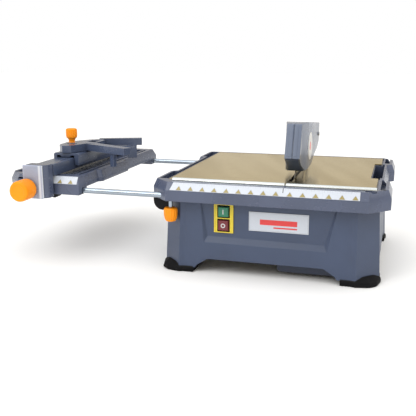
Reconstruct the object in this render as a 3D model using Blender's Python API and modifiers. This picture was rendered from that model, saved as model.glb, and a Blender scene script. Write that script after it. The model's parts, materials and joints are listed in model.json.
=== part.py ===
"""Tile cutter: a table saw for tiles with a sliding extension table, rip fence and mitre guide.

All lengths below are in millimetres and angles in degrees. The helpers turn them into metres.
The design frame has x = 0 at the blade, y = 0 at the table's front face and z = 0 at the floor.
The root empty moves the whole design so that the middle of its plan is at the world origin.
"""

import math

import bmesh
import bpy
from mathutils import Matrix, Vector

MM = 0.001
GAP = 0.3               # clearance between pieces that touch

# Table frame
TABLE_LEFT, TABLE_RIGHT, TABLE_DEPTH = -283.0, 204.0, 460.0
TABLE_TOP, STRIP_LOW, BAND_LOW = 193.0, 176.5, 154.0
CORNER = 40.6           # 45 degree chamfer of the front corners
RIM_BEVEL = 10.4        # how far the sloping rim leans in at the front
SIDE_BEVEL = 6.5        # and at the sides
WAIST = (140.0, 350.0)  # the sides step in between these two
WAIST_STEP = 12.0

# Base housing
BASE_X, BASE_Y = (-258.0, 183.0), (24.0, 436.0)
BASE_TOP = BAND_LOW - GAP
BASE_LOW = 9.3
BASE_DRAFT = 7.0        # how much the base widens towards the floor
FACE_STEP = 3.0         # each side is set back this far between its corner columns
FACE_SLOPE = 10.0       # over this width
WALL = 3.5
PANEL_Y = 31.0          # floor of the recessed control panel

# Blade and motor
BLADE_RADIUS, BLADE_THICK = 100.0, 2.2
SHAFT_Y, SHAFT_Z = 225.0, 128.0
SHAFT_RADIUS = 6.0
MOTOR_RADIUS = 44.0

# Guard
GUARD_HINGE = (0.0, 334.0, 263.0)
GUARD_NOSE_HALF, GUARD_HALF, GUARD_WALL = 16.0, 24.0, 2.4

# Extension table on its two rods
EXT_LEFT, EXT_RIGHT = -627.0, -438.0
ROD_Z, ROD_RADIUS = 162.0, 6.0
ROD_Y = (20.0, 440.0)
ROD_X = (-596.0, 0.0)
EXT_TONGUE = (95.0, 255.0)
EXT_TONGUE_STEP = 8.0

# Rip fence on the extension
FENCE_X = (-552.0, -496.0)       # the head
BAR_X = (-538.0, -496.0)
FENCE_TOP = 219.5
FENCE_END = 440.0
HEAD_FRONT = -28.0
KNOB_X, KNOB_Z = -539.0, 171.0
KNOB_FRONT = -74.0

# Mitre guide on the fence
SADDLE_Y = (93.0, 187.0)
SADDLE_TOP = 229.5
MITRE_PIVOT = (-522.0, 136.0)
MITRE_Z = (230.0, 247.0)

# Clamp under the table's front-left corner
CLAMP_X = -238.0

# The plan of the whole object, which the root empty centres on the origin
PLAN_X = (EXT_LEFT, TABLE_RIGHT)
PLAN_Y = (KNOB_FRONT, TABLE_DEPTH)


# ---------------------------------------------------------------- scene and materials

for old in list(bpy.data.objects):
    bpy.data.objects.remove(old, do_unlink=True)

parts = bpy.data.collections.new("tile_cutter")
cutters = bpy.data.collections.new("cutters")
for collection in (parts, cutters):
    bpy.context.scene.collection.children.link(collection)

PALETTE = {             # colour, metallic, roughness
    "slate_plastic": ((0.105, 0.125, 0.180), 0.0, 0.45),
    "grey_plastic": ((0.135, 0.155, 0.210), 0.0, 0.42),
    "pale_plastic": ((0.42, 0.43, 0.50), 0.0, 0.40),
    "orange_plastic": ((1.0, 0.34, 0.02), 0.0, 0.40),
    "black_plastic": ((0.012, 0.012, 0.014), 0.0, 0.50),
    "rubber": ((0.010, 0.010, 0.011), 0.0, 0.80),
    "yellow_plastic": ((0.80, 0.62, 0.05), 0.0, 0.40),
    "green_plastic": ((0.02, 0.16, 0.07), 0.0, 0.35),
    "red_plastic": ((0.22, 0.015, 0.018), 0.0, 0.35),
    "label": ((0.80, 0.80, 0.82), 0.0, 0.35),
    "polished_steel": ((0.62, 0.57, 0.46), 1.0, 0.12),
    "chrome": ((0.75, 0.76, 0.78), 1.0, 0.10),
    "aluminium": ((0.80, 0.81, 0.82), 1.0, 0.28),
    "steel": ((0.45, 0.46, 0.48), 1.0, 0.35),
    "copper": ((0.70, 0.32, 0.16), 1.0, 0.40),
}


def material(name):
    """Return the Principled material of this name, made on first use."""
    found = bpy.data.materials.get(name)
    if found:
        return found
    colour, metallic, roughness = PALETTE[name]
    made = bpy.data.materials.new(name)
    made.use_nodes = True
    shader = made.node_tree.nodes["Principled BSDF"]
    shader.inputs["Base Color"].default_value = (*colour, 1.0)
    shader.inputs["Metallic"].default_value = metallic
    shader.inputs["Roughness"].default_value = roughness
    made.diffuse_color = (*colour, 1.0)
    return made


# ---------------------------------------------------------------- placing

anchors = {}            # where each empty stands in the design frame


def anchor(name, at, parent=None):
    """An empty in the design frame: the root, or one that stands on a joint's axis."""
    empty = bpy.data.objects.new(name, None)
    empty.empty_display_size = 0.03
    parts.objects.link(empty)
    anchors[name] = Vector(at)
    empty.parent = parent
    empty.location = (anchors[name] - (anchors[parent.name] if parent else Vector())) * MM
    return empty


root = anchor("tile_cutter_root", (0, 0, 0))
root.location = (-sum(PLAN_X) / 2 * MM, -sum(PLAN_Y) / 2 * MM, 0)
current = root


def place(obj, at=None):
    """Hang an object made in the design frame on the current empty, its origin at that empty."""
    home = anchors[current.name] if at is None else Vector(at)
    obj.data.transform(Matrix.Translation(-home * MM))
    obj.location = (home - anchors[current.name]) * MM
    obj.parent = current
    return obj


def new_object(name, bm, look):
    """Make an object from a bmesh in the design frame: a part with a look, or a cutter with none."""
    bmesh.ops.recalc_face_normals(bm, faces=bm.faces)
    mesh = bpy.data.meshes.new(name)
    bm.to_mesh(mesh)
    bm.free()
    obj = bpy.data.objects.new(name, mesh)
    if look:
        mesh.materials.append(material(look))
        parts.objects.link(obj)
    else:
        cutters.objects.link(obj)
        obj.hide_render = True
        obj.display_type = "WIRE"
    return place(obj)


# ---------------------------------------------------------------- shapes

def box(name, low, high, look=None, bevel=0.0):
    """An upright box between two corners, with an optional chamfer on all its edges."""
    low, high = Vector(low), Vector(high)
    bm = bmesh.new()
    size = Matrix.Diagonal((*(high - low) * MM, 1))
    bmesh.ops.create_cube(bm, size=1.0, matrix=Matrix.Translation((low + high) / 2 * MM) @ size)
    obj = new_object(name, bm, look)
    if bevel:
        chamfer(obj, bevel)
    return obj


def chamfer(obj, width, segments=1, angle=30.0):
    """Bevel every edge sharper than the angle."""
    bevel = obj.modifiers.new("edges", "BEVEL")
    bevel.width = width * MM
    bevel.segments = segments
    bevel.limit_method = "ANGLE"
    bevel.angle_limit = math.radians(angle)
    return obj


def loft(name, sections, look=None, axis="z"):
    """A closed solid through outlines of the same number of points, each at its own level."""
    bm = bmesh.new()
    rings = []
    for outline, level in sections:
        ring = []
        for first, second in outline:
            point = {"x": (level, first, second), "y": (first, level, second),
                     "z": (first, second, level)}[axis]
            ring.append(bm.verts.new(Vector(point) * MM))
        rings.append(ring)
    for lower, upper in zip(rings, rings[1:]):
        for i in range(len(lower)):
            j = (i + 1) % len(lower)
            bm.faces.new((lower[i], lower[j], upper[j], upper[i]))
    bm.faces.new(rings[0])
    bm.faces.new(rings[-1])
    return new_object(name, bm, look)


def prism(name, outline, low, high, look=None, axis="z"):
    """A flat outline extruded along an axis; its points are the other two coordinates, in order."""
    return loft(name, [(outline, low), (outline, high)], look, axis)


def turned(name, profile, centre, axis, look=None, steps=32):
    """A solid of revolution. The profile lists (radius, height along the axis), top to bottom."""
    mesh = bpy.data.meshes.new(name)
    closed = profile[0] == profile[-1]
    points = profile[:-1] if closed else profile
    edges = [(i, (i + 1) % len(points)) for i in range(len(points) if closed else len(points) - 1)]
    mesh.from_pydata([(r * MM, 0, h * MM) for r, h in points], edges, [])
    obj = bpy.data.objects.new(name, mesh)
    if look:
        mesh.materials.append(material(look))
        parts.objects.link(obj)
    else:
        cutters.objects.link(obj)
        obj.hide_render = True
        obj.display_type = "WIRE"
    screw = obj.modifiers.new("turn", "SCREW")
    screw.steps = screw.render_steps = steps
    screw.use_merge_vertices = True
    screw.merge_threshold = 0.00001
    screw.use_smooth_shade = True
    obj.rotation_euler = {"x": (0, math.pi / 2, 0), "y": (-math.pi / 2, 0, 0), "z": (0, 0, 0)}[axis]
    obj.location = (Vector(centre) - anchors[current.name]) * MM
    obj.parent = current
    return obj


def bar(name, start, length, radius, axis, look=None, steps=24):
    """A plain round bar from its start along +axis."""
    profile = [(0, length), (radius, length), (radius, 0), (0, 0)]
    return turned(name, profile, start, axis, look, steps)


def ring(name, start, length, outer, inner, axis, look, steps=32):
    """A round tube from its start along +axis."""
    profile = [(inner, length), (outer, length), (outer, 0), (inner, 0), (inner, length)]
    return turned(name, profile, start, axis, look, steps)


def combine(target, operation, others):
    """Boolean the other objects into the target, one after another."""
    for other in others:
        boolean = target.modifiers.new(other.name, "BOOLEAN")
        boolean.operation = operation
        boolean.object = other
        boolean.solver = "EXACT"
    return target


def cut(target, *others):
    return combine(target, "DIFFERENCE", others)


def join(target, *others):
    return combine(target, "UNION", others)


def keep(target, *others):
    return combine(target, "INTERSECT", others)


def chamfered(x, y, front, rear=None):
    """A rectangle with 45 degree corners, counter-clockwise from its front-left corner."""
    rear = front if rear is None else rear
    return [(x[0], y[0] + front), (x[0] + front, y[0]), (x[1] - front, y[0]), (x[1], y[0] + front),
            (x[1], y[1] - rear), (x[1] - rear, y[1]), (x[0] + rear, y[1]), (x[0], y[1] - rear)]


def arc(centre, radius, start, end, count):
    """Points along an arc, with both its ends."""
    angles = [math.radians(start + (end - start) * i / (count - 1)) for i in range(count)]
    return [(centre[0] + radius * math.cos(a), centre[1] + radius * math.sin(a)) for a in angles]


# ---------------------------------------------------------------- base housing

def base_outline(z, inset=0.0, grow=0.0):
    """Plan of the base walls at a height: they widen towards the floor, and stand back between the columns."""
    out = BASE_DRAFT * (BASE_TOP - z) / (BASE_TOP - BASE_LOW) - inset + grow
    x = (BASE_X[0] - out, BASE_X[1] + out)
    y = (BASE_Y[0] - out, BASE_Y[1] + out)
    corners = chamfered(x, y, CORNER + 0.586 * out)
    outline = []
    for side in range(4):
        start, end = Vector(corners[2 * side + 1]), Vector(corners[(2 * side + 2) % 8])
        along = (end - start).normalized()
        inward = Vector((-along.y, along.x))
        outline += [start, start + along * FACE_SLOPE + inward * FACE_STEP,
                    end - along * FACE_SLOPE + inward * FACE_STEP, end]
    return [tuple(point) for point in outline]


def rectangle(x, y):
    return [(x[0], y[0]), (x[1], y[0]), (x[1], y[1]), (x[0], y[1])]


def panel_outline(grow=0.0):
    """The recessed control panel, seen from the front: x and z."""
    low = 1.9 * grow
    return [(-174 - grow, BASE_TOP + 5), (-161 - grow, 79 - low), (80 + grow, 77 - low), (103 + grow, BASE_TOP + 5)]


PANEL_SLOPE, PANEL_RIM = 8.0, 21.0      # its walls spread by the slope from its floor out to the rim
BASE_ARCH = [(-193, 0), (-182, 16), (-159, 30.5), (81, 30.5), (104, 16), (115, 0)]
SWITCH_X, SWITCH_Z = -126.0, 118.5
GLAND_X, GLAND_Z = -190.0, 70.0
SCREW_SPOTS = [(x, y) for x in (-205.0, 120.0) for y in (37.0, 423.0)]

base = loft("base_housing", [(base_outline(BASE_LOW), BASE_LOW), (base_outline(BASE_TOP), BASE_TOP)],
            "slate_plastic")
cavity = loft("base_cavity", [(base_outline(0, WALL), 0), (base_outline(BASE_TOP - 4, WALL), BASE_TOP - 4)])
pan = loft("panel_block", [(panel_outline(PANEL_SLOPE + WALL), 0), (panel_outline(PANEL_SLOPE + WALL), PANEL_RIM),
                           (panel_outline(WALL), PANEL_Y + WALL)], axis="y")
cut(cavity, pan)
window = prism("deck_window", chamfered((-232, 157), (50, 410), 24), BASE_TOP - 10, BASE_TOP + 5)
window_side = box("deck_window_side", (150, 164, BASE_TOP - 10), (BASE_X[1] - WALL, 356, BASE_TOP + 5))
recess = loft("panel_recess", [(panel_outline(PANEL_SLOPE), 0), (panel_outline(PANEL_SLOPE), PANEL_RIM),
                               (panel_outline(), PANEL_Y)], axis="y")
cut(base, cavity, window, window_side, recess)
cut(base, prism("arch_front_rear", BASE_ARCH, -20, TABLE_DEPTH + 20, axis="y"))
cut(base, prism("arch_sides", [(70, 0), (82, 16), (104, 28), (356, 28), (378, 16), (390, 0)],
                EXT_LEFT, TABLE_RIGHT + 50, axis="x"))
cut(base, box("switch_hole", (SWITCH_X - 18, 0, SWITCH_Z - 27.5), (SWITCH_X + 18, 60, SWITCH_Z + 27.5)))
cut(base, bar("gland_hole", (GLAND_X, 400, GLAND_Z), 60, 8.3, "y", steps=24))
for number, (x, y) in enumerate(SCREW_SPOTS):
    cut(base, bar(f"deck_hole_{number}", (x, y, BASE_TOP - 20), 40, 2.8, "z", steps=12))
# Cooling slots for the motor, in the left wall and the rear wall.
for number in range(7):
    cut(base, box(f"left_vent_{number}", (-290, 180 + 15 * number, 92), (-245, 183 + 15 * number, 132)),
        box(f"rear_vent_{number}", (-150 + 15 * number, 425, 92), (-147 + 15 * number, 460, 132)))

# Rubber feet: a pad under each corner that swells out past the chamfer and climbs its middle.
FOOT_REACH, FOOT_SWELL = 75.0, 15.0
PAD_TOP, LIP_TOP = BASE_LOW - GAP, 19.0


def foot_outline(z, grow, swell):
    """The base's plan with two more points on each chamfer, pushed out by the swell."""
    plan = [Vector(point) for point in base_outline(z, grow=grow)]
    outline = []
    for side in range(4):
        outline += plan[4 * side:4 * side + 4]
        start, end = plan[4 * side + 3], plan[(4 * side + 4) % 16]
        outward = Vector((end.y - start.y, start.x - end.x)).normalized()
        outline += [start.lerp(end, share) + outward * swell for share in (0.36, 0.64)]
    return [tuple(point) for point in outline]


foot_sections = [(foot_outline(0, 1.6, FOOT_SWELL - 1), 0), (foot_outline(3, 2.6, FOOT_SWELL), 3),
                 (foot_outline(PAD_TOP, 2.6, FOOT_SWELL - 2), PAD_TOP), (foot_outline(LIP_TOP, -3, 5), LIP_TOP)]
for name, sign_x, sign_y in (("foot_front_left", -1, -1), ("foot_front_right", 1, -1),
                             ("foot_rear_left", -1, 1), ("foot_rear_right", 1, 1)):
    foot = loft(name, foot_sections, "rubber")
    cut(foot, loft(f"{name}_seat", [(base_outline(PAD_TOP, grow=GAP), PAD_TOP), (base_outline(50, grow=GAP), 50)]))
    edge_x = BASE_X[sign_x > 0] + sign_x * BASE_DRAFT
    edge_y = BASE_Y[sign_y > 0] + sign_y * BASE_DRAFT
    reach_x = sorted((edge_x - sign_x * FOOT_REACH, edge_x + sign_x * 20))
    reach_y = sorted((edge_y - sign_y * FOOT_REACH, edge_y + sign_y * 20))
    keep(foot, box(f"{name}_corner", (reach_x[0], reach_y[0], -5), (reach_x[1], reach_y[1], 60)))

# Switch: a yellow plate on the panel, its box behind, and the two buttons that slide through it.
BUTTON = 11.0           # half a button's side
BUTTON_RISE = 14.5      # how far each button's middle is from the plate's middle
plate_front = PANEL_Y - GAP - 2.0
switch_plate = box("switch_plate", (SWITCH_X - 20.7, plate_front, SWITCH_Z - 30.7),
                   (SWITCH_X + 20.7, PANEL_Y - GAP, SWITCH_Z + 30.7), "yellow_plastic")
switch_box = box("switch_box", (SWITCH_X - 17.6, PANEL_Y, SWITCH_Z - 27.1),
                 (SWITCH_X + 17.6, PANEL_Y + 34, SWITCH_Z + 27.1), "black_plastic")
cut(switch_box, box("switch_box_hollow", (SWITCH_X - 15, PANEL_Y - 5, SWITCH_Z - 26),
                    (SWITCH_X + 15, PANEL_Y + 31.5, SWITCH_Z + 26)))
for label, side in (("start", 1), ("stop", -1)):
    middle_z = SWITCH_Z + side * BUTTON_RISE
    side_low, side_high = SWITCH_X - BUTTON - 0.5, SWITCH_X + BUTTON + 0.5
    cut(switch_plate, box(f"{label}_window", (side_low, plate_front - 5, middle_z - BUTTON - 0.5),
                          (side_high, PANEL_Y + 5, middle_z + BUTTON + 0.5)))

# Information plate on the panel.
box("label_plate", (-73, PANEL_Y - GAP - 0.8, 96.5), (49, PANEL_Y - GAP, 136.5), "label")

# Inlet for the mains lead: a gland in the rear wall.
wall_y = BASE_Y[1] + BASE_DRAFT * (BASE_TOP - GLAND_Z) / (BASE_TOP - BASE_LOW) - FACE_STEP
gland_profile = [(4, 17), (7, 17), (9, 12), (9, 5), (12.5, 5), (12.5, 0.8), (8, 0.8), (8, -9), (4, -9), (4, 17)]
turned("cable_gland", gland_profile, (GLAND_X, wall_y, GLAND_Z), "y", "black_plastic", 24)

# Water tray under the blade, with its drain plug.
TRAY_X, TRAY_Y, TRAY_Z = (-16.0, 118.0), (44.0, 408.0), (10.0, 44.0)


def tray_outline(z, inset=0.0):
    """The tray's front view: x and z, with rounded bottom corners."""
    left, right = TRAY_X[0] + inset, TRAY_X[1] - inset
    bottom, radius = z + inset, 9.0 - inset
    return ([(right, TRAY_Z[1] + inset * 2)] + [(left, TRAY_Z[1] + inset * 2)]
            + arc((left + radius, bottom + radius), radius, 180, 270, 5)
            + arc((right - radius, bottom + radius), radius, 270, 360, 5))


tray = prism("water_tray", tray_outline(TRAY_Z[0]), *TRAY_Y, "slate_plastic", axis="y")
cut(tray, prism("tray_hollow", tray_outline(TRAY_Z[0], 2.6), TRAY_Y[0] + 2.6, TRAY_Y[1] - 2.6, axis="y"))
cut(tray, bar("drain_hole", (92, 350, 0), 20, 7.0, "z", steps=20))
plug_profile = [(0, 15.4), (8.8, 15.4), (8.8, 13.0), (6.7, 13.0), (6.7, 9.6), (10, 9.6), (10, 5.5), (0, 5.5)]
turned("drain_plug", plug_profile, (92, 350, 0), "z", "rubber", 20)

# ---------------------------------------------------------------- motor, bracket and riving knife

shaft = (0.0, SHAFT_Y, SHAFT_Z)
BRACKET_X = (-40.0, -36.0)

can_profile = [(MOTOR_RADIUS - 3, -46), (MOTOR_RADIUS, -46), (MOTOR_RADIUS, -178), (11.4, -178),
               (11.4, -174), (MOTOR_RADIUS - 3, -174), (MOTOR_RADIUS - 3, -46)]
turned("motor_can", can_profile, shaft, "x", "steel", 32)
ring("motor_end_plate", (-45.7, SHAFT_Y, SHAFT_Z), 5.4, MOTOR_RADIUS, 16.4, "x", "aluminium", 32)
ring("stator", (-150, SHAFT_Y, SHAFT_Z), 70, MOTOR_RADIUS - 3.3, 27, "x", "copper", 32)
ring("bearing_rear", (-178, SHAFT_Y, SHAFT_Z), 7, 11, SHAFT_RADIUS + 0.1, "x", "steel", 24)
ring("bearing_front", (-45, SHAFT_Y, SHAFT_Z), 9, 16, SHAFT_RADIUS + 0.1, "x", "steel", 24)

bracket_outline = [(165, 74), (285, 74), (360, 96), (360, 140), (285, 184.6), (165, 184.6)]
bracket = prism("motor_bracket", bracket_outline, *BRACKET_X, "steel", axis="x")
join(bracket, box("bracket_flange", (-64, 165.5, 184.8), (-36.5, 284.5, 188.8)),
     box("bracket_bend", (-40, 165.5, 183), (-36.5, 284.5, 187)))
cut(bracket, bar("bracket_bore", (-60, SHAFT_Y, SHAFT_Z), 40, 16.4, "x", steps=24))
cut(bracket, bar("bracket_block_hole_a", (-60, 334, 112), 40, 3.4, "x", steps=12))
cut(bracket, bar("bracket_block_hole_b", (-60, 350, 112), 40, 3.4, "x", steps=12))

knife_block = box("knife_block", (BRACKET_X[1] + GAP, 326, 100), (-BLADE_THICK / 2 - GAP, 358, 124),
                  "aluminium", bevel=1.0)
knife_outline = (arc((SHAFT_Y, SHAFT_Z), BLADE_RADIUS + 4, -8, 38, 9)
                 + [(322, 232), (323, 266), (328, 272), (340, 272), (345, 266), (350, 215), (358, 160), (358, 100),
                    (330, 100)])
knife = prism("riving_knife", knife_outline, -0.9, 0.9, "steel", axis="x")
cut(knife, bar("knife_pivot_hole", (-5, GUARD_HINGE[1], GUARD_HINGE[2]), 10, 3.3, "x", steps=16))
for number, y in enumerate((334, 350)):
    for target in (knife, knife_block):
        cut(target, bar(f"knife_hole_{target.name}_{number}", (-40, y, 112), 60, 3.3, "x", steps=12))

bolt_profile = [(0, 6.2), (5.5, 6.2), (5.5, 1.3), (3.0, 1.3), (3.0, -41), (0, -41)]
for label, y in (("front", 334), ("rear", 350)):
    turned(f"knife_bolt_{label}", bolt_profile, (0, y, 112), "x", "steel", 12)

# ---------------------------------------------------------------- table

def table_outline(inset=0.0):
    """Plan of the table frame: chamfered corners and a waist in both long sides."""
    side = inset * SIDE_BEVEL / RIM_BEVEL
    x0, x1 = TABLE_LEFT + side, TABLE_RIGHT - side
    y0, y1 = inset, TABLE_DEPTH - inset
    front, rear = CORNER - 0.5 * inset, 26.0 - 0.5 * inset
    near, far = WAIST
    step = WAIST_STEP
    return [(x0 + front, y0), (x1 - front, y0), (x1, y0 + front),
            (x1, near - side), (x1 - step, near + step - side), (x1 - step, far - step + side), (x1, far + side),
            (x1, y1 - rear), (x1 - rear, y1), (x0 + 10, y1), (x0, y1 - 10),
            (x0, far + side), (x0 + step, far - step + side), (x0 + step, near + step - side), (x0, near - side),
            (x0, y0 + front)]


PLATE_X, PLATE_Y, PLATE_THICK = (-250.0, 173.5), (40.0, 446.0), 3.0
PLATE_TOP = TABLE_TOP - 0.5
PLATE_SEAT = PLATE_TOP - PLATE_THICK - GAP
HANDLE_X, HANDLE_Y = (160.0, 181.0), (168.0, 352.0)

frame = loft("table_frame", [(table_outline(), BAND_LOW), (table_outline(), STRIP_LOW),
                             (table_outline(RIM_BEVEL), TABLE_TOP)], "grey_plastic")
cut(frame, box("plate_recess", (PLATE_X[0] - GAP, PLATE_Y[0] - GAP, PLATE_SEAT),
               (176.5, PLATE_Y[1] + GAP, TABLE_TOP + 5)))
cut(frame, box("centre_opening", (-226, 52, 140), (148, 408, 200)))
cut(frame, box("left_cavity", (-266, 60, 140), (-231, 400, 178)),
    box("right_front_cavity", (154, 50, 140), (190, 150, 178)),
    box("right_rear_cavity", (154, 372, 140), (190, 412, 178)))
cut(frame, box("hand_hold", (HANDLE_X[0], HANDLE_Y[0], 140), (HANDLE_X[1], HANDLE_Y[1], 200)))
# Channels in the top, beside the plate.
CHANNEL_LOW = TABLE_TOP - 12.0
cut(frame, box("channel_right_front", (182, 41, CHANNEL_LOW), (191, 146, 200)),
    box("channel_right_rear", (180.5, 366, CHANNEL_LOW), (191, 440, 200)),
    box("channel_left_front", (-271, 47, CHANNEL_LOW), (-252, 136, 200)),
    box("channel_left_middle", (-259.5, 130, CHANNEL_LOW), (-252, 360, 200)),
    box("channel_left_rear", (-271, 360, CHANNEL_LOW), (-252, 444, 200)),
    box("rail_end_notch", (155, 15, TABLE_TOP - 4), (176, 26, 200)))
for label, y in zip(("front", "rear"), ROD_Y):
    cut(frame, bar(f"rod_bore_{label}", (-300, y, ROD_Z), 456, ROD_RADIUS + 0.35, "x", steps=24))
cut(frame, bar("clamp_screw_bore", (CLAMP_X, ROD_Y[0], 150), 12, 4.3, "z", steps=16))
for number, (x, y) in enumerate(SCREW_SPOTS):
    near_y = 41.0 if y < 200 else 419.0
    join(frame, box(f"screw_boss_{number}", (x - 6, min(y, near_y) - 7, BAND_LOW), (x + 6, max(y, near_y) + 7, 185)))
for number, (x, y) in enumerate(SCREW_SPOTS):
    cut(frame, bar(f"pilot_hole_{number}", (x, y, 150), 20, 2.8, "z", steps=12))

plate = box("table_plate", (PLATE_X[0], PLATE_Y[0], PLATE_TOP - PLATE_THICK),
            (PLATE_X[1], PLATE_Y[1], PLATE_TOP), "polished_steel")
cut(plate, box("blade_slot", (-4, 84, 180), (4, 372, 200)),
    box("hand_hold_notch", (158, HANDLE_Y[0] - 4, 180), (190, HANDLE_Y[1] + 4, 200)))

# Half-round aluminium stop rail along the front of the plate, notched at the blade.
RAIL_Y, RAIL_RADIUS = 32.0, 5.5
rail_outline = [(y, z) for y, z in arc((RAIL_Y, TABLE_TOP + GAP), RAIL_RADIUS, 0, 180, 9)]
rail = prism("front_rail", rail_outline, -236, 176, "aluminium", axis="x")
cut(rail, box("rail_notch", (-1.6, 20, TABLE_TOP + 2.2), (1.6, 45, 210)))

# Ruler strips: thin plates on the sloping front rims of the table and the extension.
SLOPE = math.atan2(TABLE_TOP - STRIP_LOW, RIM_BEVEL)


def ruler_strip(name, left, right, slant):
    """A strip that lies on the sloping rim; its left end leans over by the slant."""
    up = Vector((math.cos(SLOPE), math.sin(SLOPE)))
    out = Vector((-math.sin(SLOPE), math.cos(SLOPE)))
    start = Vector((0.0, STRIP_LOW)) + up * 1.0 + out * 0.35
    end = start + up * 17.6
    low = [(left, *start), (right, *start), (right, *end), (left + slant, *end)]
    shift = Vector((0, *out)) * 0.8
    bm = bmesh.new()
    bottom = [bm.verts.new(Vector(p) * MM) for p in low]
    top = [bm.verts.new((Vector(p) + shift) * MM) for p in low]
    bm.faces.new(bottom)
    bm.faces.new(top)
    for i in range(4):
        j = (i + 1) % 4
        bm.faces.new((bottom[i], bottom[j], top[j], top[i]))
    return new_object(name, bm, "label")


ruler_strip("table_ruler", -233, 147, 6)

screw_profile = [(0, 17), (2.4, 17), (2.4, -0.4), (4.8, -0.4), (4.8, -4.0), (0, -4.0)]
for number, (x, y) in enumerate(SCREW_SPOTS):
    turned(f"table_screw_{number + 1}", screw_profile, (x, y, BASE_TOP - 4), "z", "steel", 10)

# Black lug in front of the base's left corner, under the table frame.
lug_outline = [(-242, BAND_LOW - GAP), (-282, BAND_LOW - GAP)] + arc((-262, 146), 20, 180, 360, 13)
prism("clamp_lug", lug_outline, 35.5, 42, "black_plastic", axis="y")

# ---------------------------------------------------------------- moving pieces on the base

# Spindle: everything that spins on the blade's axis.
current = anchor("spindle_axis", shaft, root)
spindle_profile = [(0, 28), (5, 28), (SHAFT_RADIUS, 26), (SHAFT_RADIUS, -185), (0, -185)]
turned("spindle", spindle_profile, shaft, "x", "steel", 24)
bore = SHAFT_RADIUS + GAP
ring("rotor", (-149, SHAFT_Y, SHAFT_Z), 68, 26.2, bore, "x", "steel", 32)
fan = ring("cooling_fan", (-70, SHAFT_Y, SHAFT_Z), 12, 12, bore, "x", "black_plastic", 24)
for number in range(8):
    blade_box = box(f"fan_vane_{number}", (-69, SHAFT_Y - 1, SHAFT_Z + 9), (-59, SHAFT_Y + 1, SHAFT_Z + 36))
    blade_box.rotation_euler = (math.radians(45 * number), 0, 0)
    join(fan, blade_box)
ring("inner_flange", (-7.2, SHAFT_Y, SHAFT_Z), 5.8, 20, bore, "x", "steel", 32)
blade = ring("blade", (-BLADE_THICK / 2, SHAFT_Y, SHAFT_Z), BLADE_THICK, BLADE_RADIUS, bore, "x",
             "steel", 64)
KERFS = 16
for number in range(KERFS):
    kerf = box(f"kerf_{number}", (-5, SHAFT_Y - 0.9, SHAFT_Z + BLADE_RADIUS - 11), (5, SHAFT_Y + 0.9, SHAFT_Z + 105))
    kerf.rotation_euler = (math.radians(360 * (number + 0.5) / KERFS), 0, 0)
    cut(blade, kerf)
ring("outer_flange", (1.4, SHAFT_Y, SHAFT_Z), 5.8, 20, bore, "x", "steel", 32)
nut = bar("arbor_nut", (7.5, SHAFT_Y, SHAFT_Z), 9, 12, "x", "steel", 6)
cut(nut, bar("nut_bore", (0, SHAFT_Y, SHAFT_Z), 30, bore, "x", steps=24))

# Switch buttons slide along +y.
for label, side, look in (("start", 1, "green_plastic"), ("stop", -1, "red_plastic")):
    middle_z = SWITCH_Z + side * BUTTON_RISE
    current = anchor(f"{label}_button_travel", (SWITCH_X, PANEL_Y, middle_z), root)
    button = loft(f"{label}_button", [
        (rectangle((SWITCH_X - BUTTON + 1.5, SWITCH_X + BUTTON - 1.5),
                   (middle_z - BUTTON + 1.5, middle_z + BUTTON - 1.5)), PANEL_Y - 7),
        (rectangle((SWITCH_X - BUTTON, SWITCH_X + BUTTON), (middle_z - BUTTON, middle_z + BUTTON)), PANEL_Y - 5),
        (rectangle((SWITCH_X - BUTTON, SWITCH_X + BUTTON), (middle_z - BUTTON, middle_z + BUTTON)), PANEL_Y + 14)],
        look, axis="y")

# Blade guard: two shells over the blade, hinged on the riving knife.
current = anchor("guard_hinge", GUARD_HINGE, root)
GUARD_SIDE = [(102, 236.5), (126, 304.5), (132, 306.5), (168, 306.5), (353, 288), (353, 246), (322, 231),
              (264, 221), (226, 207), (150, 204.5)]
GUARD_INSIDE = [(100.5, 225), (128.3, 303.9), (133, 304), (168, 304), (350.5, 285.8), (350.5, 230), (322, 215),
                (264, 205), (226, 190), (184, 185)]


def guard_plan(half, nose_half, front, rear):
    """Half the guard's plan on the +x side: a narrow nose that widens to the full width."""
    return [(0, front), (nose_half, front), (nose_half, 128), (half, 166), (half, rear), (0, rear)]


for label, sign in (("left", -1), ("right", 1)):
    plan = [(sign * x, y) for x, y in guard_plan(GUARD_HALF, GUARD_NOSE_HALF, 90, 360)]
    inner = [(sign * x, y) for x, y in guard_plan(GUARD_HALF - GUARD_WALL, GUARD_NOSE_HALF - GUARD_WALL,
                                                  80, 370)]
    shell = prism(f"guard_{label}", GUARD_SIDE, min(sign * 0.15, sign * 30), max(sign * 0.15, sign * 30),
                  "grey_plastic", axis="x")
    keep(shell, prism(f"guard_plan_{label}", plan, 180, 320))
    hollow = prism(f"guard_hollow_{label}", GUARD_INSIDE, min(sign * -1.0, sign * 30),
                   max(sign * -1.0, sign * 30), axis="x")
    keep(hollow, prism(f"guard_inner_{label}", inner, 170, 330))
    cut(shell, hollow)
    boss = bar(f"guard_boss_{label}", (min(sign * 1.4, sign * (GUARD_HALF - 1)), *GUARD_HINGE[1:]),
               GUARD_HALF - 2.4, 6.5, "x", steps=16)
    join(shell, boss)
    cut(shell, bar(f"guard_pin_hole_{label}", (-30, *GUARD_HINGE[1:]), 60, 3.3, "x", steps=16))
    cut(shell, box(f"guard_knife_slot_{label}", (-3, 345, 225), (3, 360, 278)))
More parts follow.
